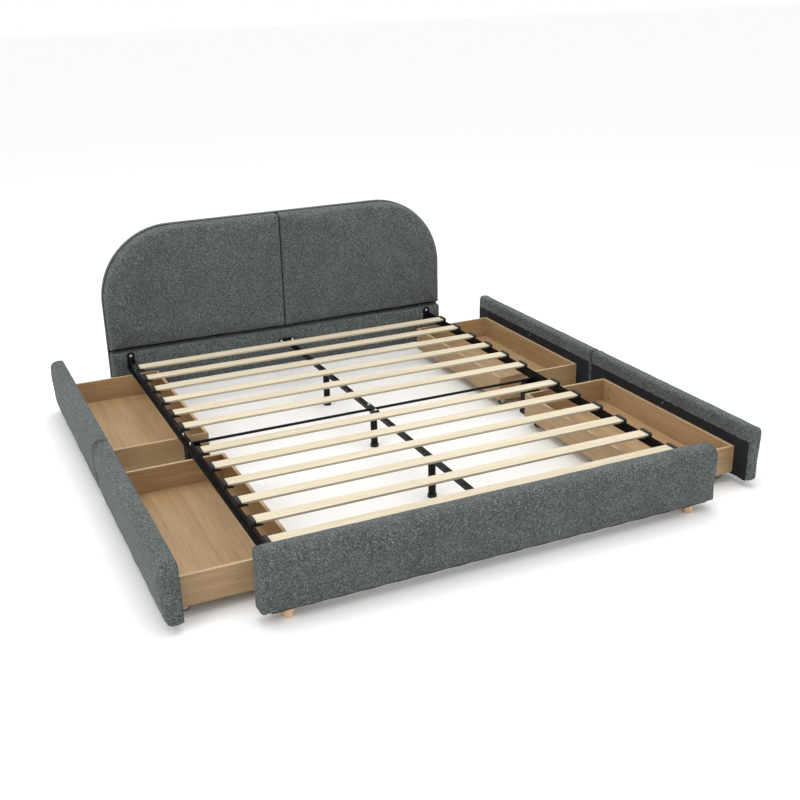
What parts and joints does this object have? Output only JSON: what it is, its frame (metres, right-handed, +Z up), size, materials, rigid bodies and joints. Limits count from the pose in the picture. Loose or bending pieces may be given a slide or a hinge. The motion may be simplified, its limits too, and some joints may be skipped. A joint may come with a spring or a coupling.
{
  "type": "platform bed with storage drawers",
  "caption": "Upholstered platform bed with padded headboard and footboard, wooden slats on a bolted steel frame, and upholstered storage drawers rolling out from both sides.",
  "frame": {"origin": "on the floor under the middle of the bed, with the drawers pulled out alike on both sides", "axes": "+X to the right seen from the foot, +Y towards the headboard, +Z up"},
  "size_m": [2.23, 2.219, 0.77],
  "materials": {
    "upholstery": "two-tone woven boucle",
    "plywood": "raw plywood",
    "foot_wood": "clear matt lacquer",
    "slat_wood": "bare laminated poplar",
    "drawer_wood": "oak-look melamine board",
    "black_steel": "satin powder coat",
    "black_plastic": "matt",
    "zinc_bolt": "bright zinc plate",
    "lining": "black non-woven",
    "caster_steel": "zinc plate",
    "caster_wheel": "matt"
  },
  "bodies": {
    "bed_frame": {"headboard_board": "plywood", "headboard_cover": "upholstery", "headboard_cushion_left": "upholstery", "headboard_cushion_right": "upholstery", "headboard_lower_panel": "upholstery", "footboard_cover": "upholstery", "footboard_core": "plywood", "wooden_feet": "foot_wood", "rails_head": "black_steel", "rails_foot": "black_steel", "joint_plates": "black_steel", "centre_beams": "black_steel", "cross_tubes": "black_steel", "rail_legs": "black_steel", "centre_legs": "black_steel", "leg_caps": "black_plastic", "frame_brackets": "black_steel", "bolts": "zinc_bolt", "slats": "slat_wood", "slat_caps": "black_plastic"},
    "drawer_left_head": {"drawer_left_head_front": "upholstery", "drawer_left_head_front_core": "plywood", "drawer_left_head_lining": "lining", "drawer_left_head_box_front": "drawer_wood", "drawer_left_head_box_back": "drawer_wood", "drawer_left_head_box_sides": "drawer_wood", "drawer_left_head_box_bottom": "drawer_wood", "drawer_left_head_casters": "caster_steel"},
    "drawer_left_head_wheels_front": {"drawer_left_head_wheels_front": "caster_wheel"},
    "drawer_left_head_wheels_back": {"drawer_left_head_wheels_back": "caster_wheel"},
    "drawer_left_foot": {"drawer_left_foot_front": "upholstery", "drawer_left_foot_front_core": "plywood", "drawer_left_foot_lining": "lining", "drawer_left_foot_box_front": "drawer_wood", "drawer_left_foot_box_back": "drawer_wood", "drawer_left_foot_box_sides": "drawer_wood", "drawer_left_foot_box_bottom": "drawer_wood", "drawer_left_foot_casters": "caster_steel"},
    "drawer_left_foot_wheels_front": {"drawer_left_foot_wheels_front": "caster_wheel"},
    "drawer_left_foot_wheels_back": {"drawer_left_foot_wheels_back": "caster_wheel"},
    "drawer_right_head": {"drawer_right_head_front": "upholstery", "drawer_right_head_front_core": "plywood", "drawer_right_head_lining": "lining", "drawer_right_head_box_front": "drawer_wood", "drawer_right_head_box_back": "drawer_wood", "drawer_right_head_box_sides": "drawer_wood", "drawer_right_head_box_bottom": "drawer_wood", "drawer_right_head_casters": "caster_steel"},
    "drawer_right_head_wheels_front": {"drawer_right_head_wheels_front": "caster_wheel"},
    "drawer_right_head_wheels_back": {"drawer_right_head_wheels_back": "caster_wheel"},
    "drawer_right_foot": {"drawer_right_foot_front": "upholstery", "drawer_right_foot_front_core": "plywood", "drawer_right_foot_lining": "lining", "drawer_right_foot_box_front": "drawer_wood", "drawer_right_foot_box_back": "drawer_wood", "drawer_right_foot_box_sides": "drawer_wood", "drawer_right_foot_box_bottom": "drawer_wood", "drawer_right_foot_casters": "caster_steel"},
    "drawer_right_foot_wheels_front": {"drawer_right_foot_wheels_front": "caster_wheel"},
    "drawer_right_foot_wheels_back": {"drawer_right_foot_wheels_back": "caster_wheel"}
  },
  "joints": [
    {"name": "drawer_left_head_slide", "type": "slide", "parent": "bed_frame", "child": "drawer_left_head", "axis": [-1, 0, 0], "range_m": [-0.27, 0.095]},
    {"name": "drawer_left_head_wheels_front_roll", "type": "hinge", "parent": "drawer_left_head", "child": "drawer_left_head_wheels_front", "pos_m": [-1.018, 0.51275, 0.015], "axis": [0, 1, 0], "continuous": true},
    {"name": "drawer_left_head_wheels_back_roll", "type": "hinge", "parent": "drawer_left_head", "child": "drawer_left_head_wheels_back", "pos_m": [-0.69, 0.51275, 0.015], "axis": [0, 1, 0], "continuous": true},
    {"name": "drawer_left_foot_slide", "type": "slide", "parent": "bed_frame", "child": "drawer_left_foot", "axis": [-1, 0, 0], "range_m": [-0.27, 0.095]},
    {"name": "drawer_left_foot_wheels_front_roll", "type": "hinge", "parent": "drawer_left_foot", "child": "drawer_left_foot_wheels_front", "pos_m": [-1.018, -0.52375, 0.015], "axis": [0, 1, 0], "continuous": true},
    {"name": "drawer_left_foot_wheels_back_roll", "type": "hinge", "parent": "drawer_left_foot", "child": "drawer_left_foot_wheels_back", "pos_m": [-0.69, -0.52375, 0.015], "axis": [0, 1, 0], "continuous": true},
    {"name": "drawer_right_head_slide", "type": "slide", "parent": "bed_frame", "child": "drawer_right_head", "axis": [1, 0, 0], "range_m": [-0.27, 0.095]},
    {"name": "drawer_right_head_wheels_front_roll", "type": "hinge", "parent": "drawer_right_head", "child": "drawer_right_head_wheels_front", "pos_m": [1.018, 0.51275, 0.015], "axis": [0, 1, 0], "continuous": true},
    {"name": "drawer_right_head_wheels_back_roll", "type": "hinge", "parent": "drawer_right_head", "child": "drawer_right_head_wheels_back", "pos_m": [0.69, 0.51275, 0.015], "axis": [0, 1, 0], "continuous": true},
    {"name": "drawer_right_foot_slide", "type": "slide", "parent": "bed_frame", "child": "drawer_right_foot", "axis": [1, 0, 0], "range_m": [-0.27, 0.095]},
    {"name": "drawer_right_foot_wheels_front_roll", "type": "hinge", "parent": "drawer_right_foot", "child": "drawer_right_foot_wheels_front", "pos_m": [1.018, -0.52375, 0.015], "axis": [0, 1, 0], "continuous": true},
    {"name": "drawer_right_foot_wheels_back_roll", "type": "hinge", "parent": "drawer_right_foot", "child": "drawer_right_foot_wheels_back", "pos_m": [0.69, -0.52375, 0.015], "axis": [0, 1, 0], "continuous": true}
  ],
  "couplings": [
    {"joint": "drawer_left_head_wheels_front_roll", "follows": "drawer_left_head_slide", "rad_per_m": -66.667},
    {"joint": "drawer_left_head_wheels_back_roll", "follows": "drawer_left_head_slide", "rad_per_m": -66.667},
    {"joint": "drawer_left_foot_wheels_front_roll", "follows": "drawer_left_foot_slide", "rad_per_m": -66.667},
    {"joint": "drawer_left_foot_wheels_back_roll", "follows": "drawer_left_foot_slide", "rad_per_m": -66.667},
    {"joint": "drawer_right_head_wheels_front_roll", "follows": "drawer_right_head_slide", "rad_per_m": 66.667},
    {"joint": "drawer_right_head_wheels_back_roll", "follows": "drawer_right_head_slide", "rad_per_m": 66.667},
    {"joint": "drawer_right_foot_wheels_front_roll", "follows": "drawer_right_foot_slide", "rad_per_m": 66.667},
    {"joint": "drawer_right_foot_wheels_back_roll", "follows": "drawer_right_foot_slide", "rad_per_m": 66.667}
  ]
}
